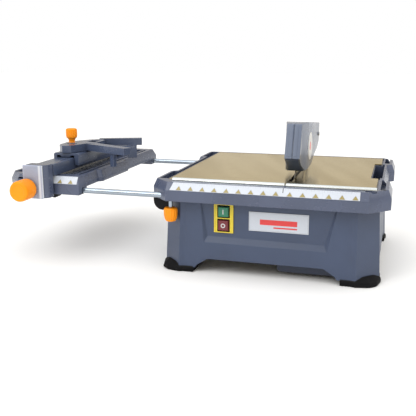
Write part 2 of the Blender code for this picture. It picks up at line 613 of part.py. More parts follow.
# The splash flap closes the guard's underside in front of the blade.
nose = prism("guard_nose", [(104.9, 233.6), (106.6, 236.2), (151.9, 206.0), (150.1, 203.2)], -30, 30,
             "slate_plastic", axis="x")
nose_side = guard_plan(GUARD_HALF - GUARD_WALL - GAP, GUARD_NOSE_HALF - GUARD_WALL - GAP, 80, 370)[1:-1]
keep(nose, prism("guard_nose_plan", nose_side + [(-x, y) for x, y in reversed(nose_side)], 180, 320))
pin_profile = [(0, 27), (4.5, 27), (4.5, 24.4), (3.0, 24.4), (3.0, -24.4), (4.5, -24.4), (4.5, -27), (0, -27)]
turned("guard_pivot_pin", pin_profile, GUARD_HINGE, "x", "steel", 16)

# Clamp knob under the table: it presses its screw against the front rod.
current = anchor("rod_clamp_axis", (CLAMP_X, ROD_Y[0], 120), root)
clamp_profile = [(0, 137.5), (8, 137.5), (13.2, 136), (14.75, 131), (14.4, 122), (12.8, 113), (10.5, 108.8),
                 (6, 107), (0, 107)]
turned("rod_clamp_knob", clamp_profile, (CLAMP_X, ROD_Y[0], 0), "z", "orange_plastic", 28)
bar("rod_clamp_screw", (CLAMP_X, ROD_Y[0], 137.8), ROD_Z - ROD_RADIUS - 0.3 - 137.8, 4.0, "z", "chrome", 16)

# ---------------------------------------------------------------- extension table

current = anchor("extension_travel", (EXT_RIGHT, ROD_Y[0], ROD_Z), root)


def extension_outline(inset=0.0):
    """Plan of the extension frame: a front-left chamfer, and a tongue on the side of the table."""
    side = inset * SIDE_BEVEL / RIM_BEVEL
    x0, x1 = EXT_LEFT + side, EXT_RIGHT - side
    y0, y1 = inset, TABLE_DEPTH - inset
    front = CORNER - 0.5 * inset
    near, far = EXT_TONGUE
    step = EXT_TONGUE_STEP
    return [(x0 + front, y0), (x1, y0), (x1, near + side), (x1 + step, near + step + side),
            (x1 + step, far - step - side), (x1, far - side), (x1, y1), (x0 + 10, y1), (x0, y1 - 10),
            (x0, y0 + front)]


EXT_DECK = 186.0
SIDE_LOW = 167.0        # the side walls are shallower than the front and rear beams
extension = loft("extension_frame", [(extension_outline(), BAND_LOW), (extension_outline(), STRIP_LOW),
                                     (extension_outline(RIM_BEVEL), TABLE_TOP)], "grey_plastic")
cut(extension, box("extension_deck", (-612, 34, EXT_DECK), (-464, 428, 210)))
cut(extension, box("extension_cavity", (-611, 38, 140), (-459, 424, EXT_DECK - 3)))
cut(extension, box("extension_side_relief", (-640, 38, 140), (-420, 424, SIDE_LOW)))
cut(extension, box("extension_front_cavity", (-588, 4.5, 140), (-466, 33, EXT_DECK)),
    box("extension_rear_cavity", (-600, 431, 140), (-466, 455.5, EXT_DECK)))
cut(extension, box("extension_channel", (-459, 36, CHANNEL_LOW), (-452, 426, 210)))
for label, y in zip(("front", "rear"), ROD_Y):
    cut(extension, bar(f"extension_bore_{label}", (ROD_X[0] - GAP, y, ROD_Z), 200, ROD_RADIUS + GAP, "x", steps=24))
    bar(f"guide_rod_{label}", (ROD_X[0], y, ROD_Z), ROD_X[1] - ROD_X[0], ROD_RADIUS, "x", "chrome", 24)
ruler_strip("extension_ruler", -545, -443, 4)
prism("extension_lug", arc((-505, BAND_LOW - GAP), 10.5, 180, 360, 11), 12, 30, "black_plastic", axis="y")

# ---------------------------------------------------------------- rip fence

current = anchor("fence_travel", (sum(FENCE_X) / 2, 0, TABLE_TOP), extension.parent)

BAR_LOW = TABLE_TOP + GAP
fence = prism("fence_bar", [(BAR_X[0], BAR_LOW), (BAR_X[1], BAR_LOW), (BAR_X[1], FENCE_TOP - 2),
                            (BAR_X[1] - 2, FENCE_TOP), (BAR_X[0] + 2, FENCE_TOP), (BAR_X[0], FENCE_TOP - 2)],
              GAP, FENCE_END, "slate_plastic", axis="y")
# The bar flares out to the head's width at the front.
join(fence, prism("fence_flare", [(BAR_X[0] + 2, GAP), (FENCE_X[0], GAP), (BAR_X[0], 30), (BAR_X[0] + 2, 30)],
                  BAR_LOW, FENCE_TOP - 2))
cut(fence, box("fence_hollow", (BAR_X[0] + 3, -5, 180), (BAR_X[1] - 3, FENCE_END - 3, FENCE_TOP - 3)))

head_low = 150.0
head_back = -2.0
head_side = [(HEAD_FRONT, head_low), (head_back, head_low), (head_back, FENCE_TOP + 1.5), (HEAD_FRONT + 1, FENCE_TOP + 1.5),
             (HEAD_FRONT, FENCE_TOP)]
head = prism("fence_head", head_side, FENCE_X[0] + 6, FENCE_X[1], "slate_plastic", axis="x")
corner = prism("head_corner", [(FENCE_X[1] - 12, HEAD_FRONT - 1), (FENCE_X[1] + 1, HEAD_FRONT - 1),
                               (FENCE_X[1] + 1, HEAD_FRONT + 12)]
               + arc((FENCE_X[1] - 12, HEAD_FRONT + 12), 12, 0, -90, 6)[1:-1], 130, 240)
cut(head, corner)
cut(head, bar("head_screw_bore", (KNOB_X, HEAD_FRONT - 5, KNOB_Z), 40, 5.3, "y", steps=16),
    bar("head_pad_pocket", (KNOB_X, -8, KNOB_Z), 10, 6.8, "y", steps=20))
face_x = (FENCE_X[0], -506.5)
face = box("fence_face", (face_x[0], HEAD_FRONT - 3.3, head_low - 1.5), (face_x[1], HEAD_FRONT - GAP, FENCE_TOP + 1),
           "pale_plastic", bevel=0.8)
cut(face, bar("face_screw_bore", (KNOB_X, HEAD_FRONT - 10, KNOB_Z), 20, 5.3, "y", steps=16))
box("fence_rear_foot", (BAR_X[0] + 2, FENCE_END + GAP, TABLE_TOP + GAP), (BAR_X[1] - 2, FENCE_END + 12, FENCE_TOP - 3),
    "black_plastic", bevel=1.0)

# Fence clamp: the large knob turns a screw that pushes a pad against the extension's front face.
current = anchor("fence_knob_axis", (KNOB_X, KNOB_FRONT, KNOB_Z), current)
big_knob = [(0, -33.5), (19, -33.5), (21.2, -36), (22, -40), (22, -68), (21, -71.6), (18.5, -73.6),
            (15, KNOB_FRONT), (0, KNOB_FRONT)]
turned("fence_knob", big_knob, (KNOB_X, 0, KNOB_Z), "y", "orange_plastic", 36)
pad_profile = [(0, -0.6), (6.2, -0.6), (6.2, -3.6), (5, -3.6), (5, -33.2), (0, -33.2)]
turned("fence_clamp_screw", pad_profile, (KNOB_X, 0, KNOB_Z), "y", "steel", 16)

# ---------------------------------------------------------------- mitre guide

current = anchor("saddle_travel", (MITRE_PIVOT[0], sum(SADDLE_Y) / 2, FENCE_TOP), bpy.data.objects["fence_travel"])
side_gap = 0.6
leg_low = 202.0
outer = (BAR_X[0] - 9, BAR_X[1] + 12)
inner = (BAR_X[0] - side_gap, BAR_X[1] + side_gap)
saddle_outline = [(outer[0], leg_low), (inner[0], leg_low), (inner[0], FENCE_TOP + 4.5),
                  (-531, FENCE_TOP + 4.5), (-527, FENCE_TOP + 0.6), (-507, FENCE_TOP + 0.6), (-503, FENCE_TOP + 4.5),
                  (inner[1], FENCE_TOP + 4.5), (inner[1], leg_low), (outer[1], leg_low),
                  (outer[1], SADDLE_TOP - 3), (outer[1] - 3, SADDLE_TOP), (outer[0] + 3, SADDLE_TOP),
                  (outer[0], SADDLE_TOP - 3)]
saddle = prism("mitre_saddle", saddle_outline, *SADDLE_Y, "slate_plastic", axis="y")
cut(saddle, bar("saddle_screw_bore", (*MITRE_PIVOT, 215), 20, 4.3, "z", steps=16))

current = anchor("mitre_axis", (*MITRE_PIVOT, MITRE_Z[0]), current)
low, high = MITRE_Z
plate_outline = [(-538, 106), (-521, 86), (-502, 92), (-486, 136), (-470, 154), (-470, 205), (-489, 224),
                 (-512, 206), (-532, 176), (-542, 148)]
mitre = prism("mitre_head", plate_outline, low, high, "grey_plastic")
cut(mitre, bar("mitre_bore", (*MITRE_PIVOT, 220), 40, 4.3, "z", steps=16))
cut(mitre, box("mitre_pocket", (-499, 165, low + 8), (-478, 198, high + 5)))


def arm(name, start, end, width, z_low, z_high):
    """A straight tapering arm in plan."""
    start, end = Vector(start), Vector(end)
    along = (end - start).normalized()
    across = Vector((-along.y, along.x)) * width / 2
    outline = [tuple(p) for p in (start - across, end - across * 0.8, end + across * 0.8, start + across)]
    return prism(name, outline, z_low, z_high)


join(mitre, arm("mitre_arm_near", (-486, 150), (-364, 92), 26, low + 1, high - 0.5),
     arm("mitre_arm_far", (-494, 224), (-398, 262), 18, low + 1, high + 1),
     prism("mitre_web", [(-474, 172), (-412, 182), (-404, 214), (-404, 228), (-474, 199)], low - 0.2, low + 2.5),
     arm("mitre_foot_far", (-430, 245), (-409, 254), 12, 200, low + 4),
     arm("mitre_foot_near", (-412, 115), (-402, 110), 12, 200, low + 4))

current = anchor("mitre_knob_axis", (*MITRE_PIVOT, high), current)
mitre_knob = [(0, 281), (9, 281), (12.2, 279.6), (13, 276.5), (13, 264), (12, 260), (8.5, 256.5), (7, 253), (7, 250),
              (8, 248.6), (0, 248.6)]
turned("mitre_knob", mitre_knob, (*MITRE_PIVOT, 0), "z", "orange_plastic", 28)
washer = [(0, 248.3), (12, 248.3), (12, 247.3), (4, 247.3), (4, 222), (0, 222)]
turned("mitre_screw", washer, (*MITRE_PIVOT, 0), "z", "steel", 16)
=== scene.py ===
import itertools
import json
import math

import bmesh
import bpy
from mathutils import Matrix, Vector

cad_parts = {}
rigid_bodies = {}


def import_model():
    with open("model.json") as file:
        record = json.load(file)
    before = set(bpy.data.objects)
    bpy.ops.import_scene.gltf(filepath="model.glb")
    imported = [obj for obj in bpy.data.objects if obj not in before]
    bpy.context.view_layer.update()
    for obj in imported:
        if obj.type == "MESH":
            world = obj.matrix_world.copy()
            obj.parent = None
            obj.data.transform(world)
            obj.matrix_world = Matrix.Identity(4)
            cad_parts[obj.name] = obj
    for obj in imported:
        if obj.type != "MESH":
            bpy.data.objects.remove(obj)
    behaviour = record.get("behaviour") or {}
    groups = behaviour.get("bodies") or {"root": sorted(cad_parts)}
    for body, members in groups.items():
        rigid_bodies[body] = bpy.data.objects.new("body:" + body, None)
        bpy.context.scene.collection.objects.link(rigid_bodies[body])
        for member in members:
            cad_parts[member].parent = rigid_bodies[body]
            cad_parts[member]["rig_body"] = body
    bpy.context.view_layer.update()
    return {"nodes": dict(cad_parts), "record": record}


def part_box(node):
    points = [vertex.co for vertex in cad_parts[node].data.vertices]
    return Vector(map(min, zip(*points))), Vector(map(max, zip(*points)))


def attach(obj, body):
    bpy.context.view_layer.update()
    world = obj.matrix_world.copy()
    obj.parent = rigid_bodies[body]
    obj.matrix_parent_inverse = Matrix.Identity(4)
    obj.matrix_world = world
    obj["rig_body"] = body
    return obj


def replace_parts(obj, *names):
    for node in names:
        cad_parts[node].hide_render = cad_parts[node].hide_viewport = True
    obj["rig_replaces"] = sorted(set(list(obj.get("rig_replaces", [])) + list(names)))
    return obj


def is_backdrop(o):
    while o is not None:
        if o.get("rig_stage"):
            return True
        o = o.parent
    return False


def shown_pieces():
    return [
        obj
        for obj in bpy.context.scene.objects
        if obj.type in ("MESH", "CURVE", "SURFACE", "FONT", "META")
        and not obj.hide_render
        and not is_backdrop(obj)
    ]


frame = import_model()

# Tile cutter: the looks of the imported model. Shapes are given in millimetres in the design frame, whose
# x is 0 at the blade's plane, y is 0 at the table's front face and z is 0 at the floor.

MM = 0.001
BLADE_LOW, BLADE_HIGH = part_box("blade")
TABLE_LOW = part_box("table_frame")[0]
ORIGIN = Vector(((BLADE_LOW.x + BLADE_HIGH.x) / 2, TABLE_LOW.y, 0.0))
NODES = frame["nodes"]
SLOT_OF = {part["node"]: part["material_slot"] for part in frame["record"]["subparts"]}


def local(point):
    """A world point in millimetres of the design frame."""
    return (point - ORIGIN) / MM


def node_box(node):
    """A CAD node's lowest and highest corner in the design frame."""
    low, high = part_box(node)
    return local(low), local(high)


# ---------------------------------------------------------------- materials

class Look:
    """A procedural material: the shader, and short calls for the nodes before it."""

    def __init__(self, name, metallic=0.0, **constants):
        self.material = bpy.data.materials.new(name)
        self.material.use_nodes = True
        self.tree = self.material.node_tree
        self.shader = self.tree.nodes["Principled BSDF"]
        self.shader.inputs["Metallic"].default_value = metallic
        for socket, value in constants.items():
            self.shader.inputs[socket.replace("_", " ")].default_value = value
        self.space = self.tree.nodes.new("ShaderNodeTexCoord").outputs["Object"]

    def node(self, kind, inputs, **settings):
        """Add a node, set its properties, and link or set its inputs by name or number."""
        made = self.tree.nodes.new(kind)
        for key, value in settings.items():
            setattr(made, key, value)
        for key, value in inputs.items():
            if isinstance(value, bpy.types.NodeSocket):
                self.tree.links.new(value, made.inputs[key])
            else:
                made.inputs[key].default_value = value
        return made

    def stretched(self, stretch, turn=(0, 0, 0)):
        """The object's space, turned and scaled by its own factor along each axis."""
        mapping = self.node("ShaderNodeMapping", {"Vector": self.space, "Scale": stretch,
                                                  "Rotation": [math.radians(a) for a in turn]},
                            vector_type="TEXTURE" if turn != (0, 0, 0) else "POINT")
        return mapping.outputs["Vector"]

    def noise(self, scale, detail=3.0, space=None, roughness=0.55):
        made = self.node("ShaderNodeTexNoise", {"Vector": space or self.space, "Scale": scale,
                                                "Detail": detail, "Roughness": roughness})
        return made.outputs["Fac"]

    def fit(self, value, low, high, out_low=0.0, out_high=1.0):
        """Map a value from one range to another, clamped."""
        made = self.node("ShaderNodeMapRange", {0: value, 1: low, 2: high, 3: out_low, 4: out_high})
        return made.outputs[0]

    def math(self, operation, first, second):
        return self.node("ShaderNodeMath", {0: first, 1: second}, operation=operation).outputs[0]

    def mix(self, factor, first, second, blend="MIX"):
        made = self.node("ShaderNodeMix", {0: factor, 6: colour(first), 7: colour(second)},
                         data_type="RGBA", blend_type=blend)
        return made.outputs[2]

    def edges(self, reach):
        """1 along the piece's convex edges and 0 on its faces."""
        inner = self.node("ShaderNodeAmbientOcclusion", {"Distance": reach}, samples=4, inside=True,
                          only_local=True)
        return self.fit(inner.outputs["AO"], 0.72, 0.35)

    def hollows(self, reach):
        """1 deep in corners and recesses and 0 in the open; it marks where painted shade goes."""
        outer = self.node("ShaderNodeAmbientOcclusion", {"Distance": reach}, samples=4)
        return self.fit(outer.outputs["AO"], 0.75, 0.25)

    def paint(self, base, rough, height=None, strength=0.2, depth=0.0002):
        """Link the finished colour, roughness and height to the shader."""
        self.tree.links.new(base, self.shader.inputs["Base Color"])
        self.tree.links.new(rough, self.shader.inputs["Roughness"])
        if height is not None:
            bump = self.node("ShaderNodeBump", {"Height": height, "Strength": strength, "Distance": depth})
            self.tree.links.new(bump.outputs["Normal"], self.shader.inputs["Normal"])
        return self.material


def colour(value):
    """A socket as it is, or three numbers with an alpha of one."""
    return value if isinstance(value, bpy.types.NodeSocket) else (*value[:3], 1.0)


def scaled(value, factor):
    return tuple(min(1.0, channel * factor) for channel in value)


def moulded(name, base, rough, grain=1400.0, strength=0.22, wear=0.5, gloss=0.5):
    """Injection-moulded plastic: fine spark texture, faint flow marks, rubbed edges, and painted shade that
    darkens its corners and recesses.
    """
    look = Look(name, Specular_IOR_Level=gloss)
    cloud = look.noise(9.0, 4.0)
    fine = look.noise(grain, 2.0)
    tone = look.mix(look.fit(cloud, 0.35, 0.65), scaled(base, 0.90), scaled(base, 1.10))
    tone = look.mix(look.fit(fine, 0.3, 0.7, 0.0, 0.10), tone, scaled(base, 1.5))
    broken = look.fit(look.noise(160.0, 4.0), 0.38, 0.62)
    rubbed = look.math("MULTIPLY", look.edges(0.0016), look.math("MULTIPLY", broken, wear))
    tone = look.mix(rubbed, tone, tuple(0.7 * c + 0.12 for c in base))
    # Painted shade: the colour is darkened deep in corners and recesses, where shadow falls.
    painted_shade = look.math("MULTIPLY", look.hollows(0.03), 0.6)
    tone = look.mix(painted_shade, tone, scaled(base, 0.45))
    scuffs = look.fit(look.noise(70.0, 6.0, look.stretched((1.0, 1.0, 3.0)), 0.7), 0.56, 0.72, 0.0, 0.10)
    roughness = look.math("ADD", look.fit(cloud, 0.3, 0.7, rough - 0.05, rough + 0.06), scuffs)
    roughness = look.math("SUBTRACT", roughness, look.math("MULTIPLY", rubbed, 0.10))
    return look.paint(tone, roughness, fine, strength, 0.00015)


def rubber(name, base, rough):
    """Moulded rubber: matt, with a coarse skin and pale dirt caught in it."""
    look = Look(name, Specular_IOR_Level=0.15)
    skin = look.noise(900.0, 3.0)
    patches = look.fit(look.noise(38.0, 5.0), 0.45, 0.75)
    tone = look.mix(look.math("MULTIPLY", patches, 0.35), base, tuple(c + 0.012 for c in base))
    tone = look.mix(look.math("MULTIPLY", look.edges(0.0015), 0.3), tone, tuple(c + 0.05 for c in base))
    return look.paint(tone, look.fit(patches, 0, 1, rough - 0.08, rough + 0.06), skin, 0.35, 0.0003)


def metal(name, base, rough, stretch, scale=260.0, strength=0.12, worn=0.25):
    """Bare metal: grain drawn along one axis, soft stains, brighter rubbed edges."""
    look = Look(name, 1.0)
    grain = look.noise(scale, 4.0, look.stretched(stretch), 0.6)
    stain = look.fit(look.noise(17.0, 5.0), 0.35, 0.7)
    tone = look.mix(look.fit(grain, 0.3, 0.7), scaled(base, 0.92), scaled(base, 1.05))
    tone = look.mix(look.math("MULTIPLY", stain, 0.22), tone, scaled(base, 0.80))
    tone = look.mix(look.math("MULTIPLY", look.edges(0.0012), worn), tone, scaled(base, 1.25))
    roughness = look.math("ADD", look.fit(grain, 0.3, 0.7, rough - 0.04, rough + 0.05),
                          look.math("MULTIPLY", stain, 0.05))
    return look.paint(tone, roughness, grain, strength, 0.00008)


def plate_steel():
    """The work plate: bright sheet whose warm tint is a painted reflection of warm surroundings, with
    grinding lines and wide diagonal lighter streaks.
    """
    look = Look("polished_plate", 1.0)
    lines = look.noise(420.0, 4.0, look.stretched((1.0, 0.015, 1.0)), 0.65)
    streaks = look.noise(13.0, 1.5, look.stretched((1.0, 7.0, 1.0), (0, 0, 24)), 0.45)
    smudge = look.fit(look.noise(11.0, 5.0), 0.5, 0.8, 0.0, 0.20)
    tone = look.mix(look.fit(streaks, 0.42, 0.66), PLATE_TONE, PLATE_STREAK)
    tone = look.mix(look.fit(lines, 0.35, 0.65, 0.0, 0.10), tone, scaled(PLATE_TONE, 0.86))
    tone = look.mix(smudge, tone, scaled(PLATE_TONE, 0.93))
    roughness = look.math("ADD", look.fit(lines, 0.3, 0.7, 0.17, 0.24), look.math("MULTIPLY", smudge, 0.25))
    return look.paint(tone, roughness, lines, 0.06, 0.00005)


def printed(name, base):
    """Printed film: a smooth laminate with slight unevenness in the ink and grubby patches."""
    look = Look(name, Specular_IOR_Level=0.5, Coat_Weight=0.25, Coat_Roughness=0.18)
    ink = look.noise(320.0, 3.0)
    patch = look.noise(24.0, 4.0)
    tone = look.mix(look.fit(ink, 0.35, 0.65, 0.0, 0.5), base, scaled(base, 0.94))
    tone = look.mix(look.fit(patch, 0.55, 0.8, 0.0, 0.18), tone, scaled(base, 0.80))
    return look.paint(tone, look.fit(patch, 0.3, 0.7, 0.26, 0.42), ink, 0.08, 0.00005)


def winding():
    """Varnished copper wire, wound in fine turns round the stator."""
    look = Look("copper_winding", 1.0)
    turns = look.node("ShaderNodeTexWave", {"Vector": look.space, "Scale": 420.0, "Distortion": 1.5,
                                            "Detail": 1.0}, bands_direction="X").outputs["Fac"]
    tone = look.mix(turns, (0.22, 0.08, 0.03), (0.62, 0.27, 0.12))
    return look.paint(tone, look.fit(turns, 0, 1, 0.55, 0.32), turns, 0.6, 0.0004)


def diamond():
    """The blade's sintered rim: grey bond full of bright grit."""
    look = Look("diamond_rim", 0.4)
    cells = look.node("ShaderNodeTexVoronoi", {"Vector": look.space, "Scale": 1500.0}).outputs["Distance"]
    stain = look.noise(140.0, 4.0)
    tone = look.mix(look.fit(cells, 0.25, 0.6), (0.52, 0.50, 0.44), (0.16, 0.15, 0.14))
    tone = look.mix(look.fit(stain, 0.4, 0.7, 0.0, 0.5), tone, (0.30, 0.26, 0.20))
    return look.paint(tone, look.fit(cells, 0.2, 0.6, 0.35, 0.75), cells, 0.7, 0.0004)


# The plate's warm tint, in its tone and its streaks, is a painted reflection of warm surroundings on bright
# steel.
PLATE_TONE = (0.52, 0.42, 0.21)
PLATE_STREAK = (0.68, 0.575, 0.35)
SLATE = (0.043, 0.062, 0.116)
GREY = (0.110, 0.138, 0.205)
LOOKS = {
    "slate_plastic": moulded("slate_moulding", SLATE, 0.40),
    "grey_plastic": moulded("grey_moulding", GREY, 0.22, strength=0.10),
    "pale_plastic": moulded("pale_moulding", (0.38, 0.42, 0.53), 0.36, wear=0.2),
    "orange_plastic": moulded("orange_moulding", (0.95, 0.285, 0.006), 0.36, 900.0, 0.12, 0.12, 0.22),
    "black_plastic": moulded("black_moulding", (0.006, 0.006, 0.008), 0.42, wear=0.05, gloss=0.15),
    "rubber": rubber("foot_rubber", (0.003, 0.003, 0.004), 0.72),
    "yellow_plastic": moulded("yellow_moulding", (0.72, 0.56, 0.035), 0.33, strength=0.08, wear=0.10),
    "green_plastic": moulded("green_moulding", (0.025, 0.185, 0.105), 0.30, strength=0.05, wear=0.08),
    "red_plastic": moulded("red_moulding", (0.150, 0.016, 0.024), 0.30, strength=0.05, wear=0.08),
    "label": printed("white_film", (0.55, 0.59, 0.66)),
    "polished_steel": plate_steel(),
    "chrome": metal("chromed_rod", (0.34, 0.39, 0.45), 0.14, (1.0, 0.04, 0.04), 90.0, 0.03, 0.05),
    "aluminium": metal("drawn_aluminium", (0.60, 0.63, 0.62), 0.22, (0.02, 1.0, 1.0), 500.0, 0.10),
    "steel": metal("machined_steel", (0.42, 0.43, 0.45), 0.33, (0.3, 1.0, 1.0)),
    "blade_steel": metal("ground_steel", (0.46, 0.46, 0.48), 0.28, (1.0, 1.0, 0.03), 300.0),
    "copper": winding(),
}
GOLD_INK = printed("gold_ink", (0.30, 0.235, 0.060))
GREY_INK = printed("grey_ink", (0.34, 0.36, 0.40))
BLACK_INK = printed("black_ink", (0.012, 0.012, 0.014))
RED_INK = printed("red_ink", (0.70, 0.035, 0.035))
WHITE_INK = printed("white_ink", (0.60, 0.60, 0.60))
DIAMOND = diamond()
RIM_MOULDING = moulded("rim_moulding", (0.068, 0.084, 0.138), 0.26, strength=0.12)
SATIN_MOULDING = moulded("satin_moulding", (0.060, 0.080, 0.138), 0.24, strength=0.10)
# A brighter copy of the pale moulding for the fence face's slanting strip: a painted highlight on the
# chamfer.
LIT_CHAMFER_MOULDING = moulded("lit_chamfer_moulding", (0.58, 0.62, 0.68), 0.26, strength=0.06, wear=0.1)
# A darker copy of the slate moulding for the water tray: painted shade for the shadow under the machine.
SHADED_TRAY_MOULDING = moulded("shaded_tray_moulding", (0.022, 0.032, 0.064), 0.42)


# ---------------------------------------------------------------- pieces

CREASE = 28             # edges that fold by more degrees than this are rounded
HARD_FOLD = 32          # and in a piece without rounding, this fold is shaded sharp
LEVEL_ROUNDS = 6        # how often the widths of edges that run on into each other are levelled
MERGE_REACH = 0.08      # points this close are one, in millimetres
FLAT_FOLD = 0.6         # degrees between faces that count as one flat face
RUN_ON = -0.75          # two edges run on into each other when their directions' cosine is under this
NEARLY_IN_LINE = 0.3    # a neighbouring edge this close to an edge's own line doesn't limit its rounding
ROOM_SHARE = 0.45       # how much of the room beside an edge its rounding may take


def piece(name, bm, body, slot, look=None, stands_for=(), edge=0.0, segments=3, crease=CREASE):
    """Make a piece from a bmesh in world metres. The edge is the width of its rounding, in millimetres."""
    bmesh.ops.recalc_face_normals(bm, faces=bm.faces)
    if edge:
        weigh_edges(bm, edge * MM, math.radians(crease))
    mesh = bpy.data.meshes.new(name)
    bm.to_mesh(mesh)
    bm.free()
    mesh.shade_smooth()
    mesh.materials.append(look or LOOKS[slot])
    obj = bpy.data.objects.new(name, mesh)
    bpy.context.scene.collection.objects.link(obj)
    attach(obj, body)
    if stands_for:
        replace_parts(obj, *stands_for)
    if edge:
        rounding(obj, edge, segments)
    else:
        mesh.set_sharp_from_angle(angle=math.radians(HARD_FOLD))


def weigh_edges(bm, width, sharp):
    """Give each sharp edge the share of the rounding's width that its neighbours leave room for."""
    layer = bm.edges.layers.float.new("bevel_weight_edge")
    for edge in bm.edges:
        if edge.is_manifold and edge.calc_face_angle() > sharp:
            edge[layer] = min(1.0, room_beside(edge) / width)
    for _ in range(LEVEL_ROUNDS):
        for vert in bm.verts:
            level_run(vert, layer)


def level_run(vert, layer):
    """Give two rounded edges that run on into each other at a corner the narrower one's width."""
    rounded = [edge for edge in vert.link_edges if edge[layer] > 0]
    for first, second in itertools.combinations(rounded, 2):
        ways = [(edge.other_vert(vert).co - vert.co).normalized() for edge in (first, second)]
        if ways[0].dot(ways[1]) < RUN_ON:
            first[layer] = second[layer] = min(first[layer], second[layer])


def room_beside(edge):
    """How far an edge's rounding can reach before it meets the far end of a neighbouring edge."""
    room = 1.0
    for vert in edge.verts:
        along = (edge.other_vert(vert).co - vert.co).normalized()
        for other in vert.link_edges:
            side = other.other_vert(vert).co - vert.co
            reach = along.cross(side).length
            if other is not edge and reach > NEARLY_IN_LINE * side.length:
                room = min(room, ROOM_SHARE * reach)
    return room


def rounding(obj, edge, segments):
    """Round the weighted edges, and keep the flat faces flat."""
    bevel = obj.modifiers.new("rounding", "BEVEL")
    bevel.width = edge * MM
    bevel.segments = segments
    bevel.limit_method = "WEIGHT"
    bevel.use_clamp_overlap = False
    bevel.loop_slide = False
    weights = obj.modifiers.new("flat_faces", "WEIGHTED_NORMAL")
    weights.mode = "FACE_AREA"
    weights.keep_sharp = False


def cleaned(node):
    """A CAD node's mesh with its triangles merged back into flat faces."""
    bm = bmesh.new()
    bm.from_mesh(NODES[node].data)
    bmesh.ops.remove_doubles(bm, verts=bm.verts, dist=MERGE_REACH * MM)
    bmesh.ops.dissolve_limit(bm, angle_limit=math.radians(FLAT_FOLD), verts=bm.verts, edges=bm.edges)
    bmesh.ops.connect_verts_concave(bm, faces=[face for face in bm.faces if len(face.verts) > 4])
    return bm


def refined(node, edge, look=None, crease=CREASE):
    """A finer copy of a CAD node, with rounded edges, that stands for it."""
    piece(f"{node}_skin", cleaned(node), NODES[node]["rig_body"], SLOT_OF[node], look, (node,), edge,
          crease=crease)


def prism(outline, low, high, axis="z"):
    """A flat outline extruded along an axis; its points are the other two coordinates, in order."""
    bm = bmesh.new()
    rings = []
    for level in (low, high):
        ring = []
        for first, second in outline:
            point = {"x": (level, first, second), "y": (first, level, second),
                     "z": (first, second, level)}[axis]
            ring.append(bm.verts.new(ORIGIN + Vector(point) * MM))
        rings.append(ring)
    bm.faces.new(rings[0])
    bm.faces.new(rings[1])
    for i in range(len(outline)):
        j = (i + 1) % len(outline)
        bm.faces.new((rings[0][i], rings[0][j], rings[1][j], rings[1][i]))
    return bm


def block(low, high):
    """An upright box between two corners, to be rounded or merged with others."""
    outline = [(low[0], low[1]), (high[0], low[1]), (high[0], high[1]), (low[0], high[1])]
    return prism(outline, low[2], high[2])


def merged(parts):
    """Several bmeshes as one."""
    whole = parts[0]
    for part in parts[1:]:
        mesh = bpy.data.meshes.new("part")
        part.to_mesh(mesh)
        part.free()
        whole.from_mesh(mesh)
        bpy.data.meshes.remove(mesh)
    return whole


def turned(profile, centre, axis, steps=64, lobes=0, depth=0.0, fluted=()):
    """A lathe shape. The profile lists (radius, height), and the rows numbered in fluted are scalloped."""
    bm = bmesh.new()
    rows = []
    for index, (radius, height) in enumerate(profile):
        if radius == 0:
            rows.append([bm.verts.new(turned_point(0, 0, height, centre, axis))])
            continue
        row = []
        for step in range(steps):
            angle = 2 * math.pi * step / steps
            scallop = depth * (0.5 - 0.5 * math.cos(lobes * angle)) if index in fluted else 0.0
            row.append(bm.verts.new(turned_point(radius - scallop, angle, height, centre, axis)))
        rows.append(row)
    for upper, lower in zip(rows, rows[1:]):
        for step in range(steps):
            after = (step + 1) % steps
            corners = [upper[step % len(upper)], upper[after % len(upper)],
                       lower[after % len(lower)], lower[step % len(lower)]]
            face = list(dict.fromkeys(corners))
            if len(face) > 2:
                bm.faces.new(face)
    return bm


def turned_point(radius, angle, height, centre, axis):
    across, up = radius * math.cos(angle), radius * math.sin(angle)
    offset = {"x": (height, across, up), "y": (across, height, up), "z": (across, up, height)}[axis]
    return ORIGIN + (Vector(centre) + Vector(offset)) * MM


def soft_profile(points, radius, steps=4):
    """A lathe profile whose corners, all but its two ends, are rounded by the radius."""
    result = [points[0]]
    for before, corner, after in zip(points, points[1:], points[2:]):
        before, corner, after = Vector(before), Vector(corner), Vector(after)
        reach = min(radius, (before - corner).length / 2.1, (after - corner).length / 2.1)
        start = corner + (before - corner).normalized() * reach
        end = corner + (after - corner).normalized() * reach
        for step in range(steps + 1):
            t = step / steps
            result.append(tuple(start * (1 - t) ** 2 + corner * 2 * t * (1 - t) + end * t ** 2))
    result.append(points[-1])
    return result


# ---------------------------------------------------------------- camera, floor and light

CAMERA_PLACE = (213.4, -1223.0, 445.5)
CAMERA_TURN = (76.77, -0.16, 16.58)     # tilt from straight down, roll, and turn about the vertical
CAMERA_LENS = 56.25

camera = bpy.data.objects.new("camera", bpy.data.cameras.new("camera"))
bpy.context.scene.collection.objects.link(camera)
tilt, roll, turn = (math.radians(angle) for angle in CAMERA_TURN)
camera.matrix_world = (Matrix.Translation(ORIGIN + Vector(CAMERA_PLACE) * MM) @ Matrix.Rotation(turn, 4, "Z")
                       @ Matrix.Rotation(tilt, 4, "X") @ Matrix.Rotation(roll, 4, "Z"))
camera.data.lens = CAMERA_LENS
camera.data.sensor_width = 36.0
bpy.context.scene.camera = camera
bpy.context.scene.view_settings.view_transform = "Standard"
bpy.context.scene.view_settings.look = "None"


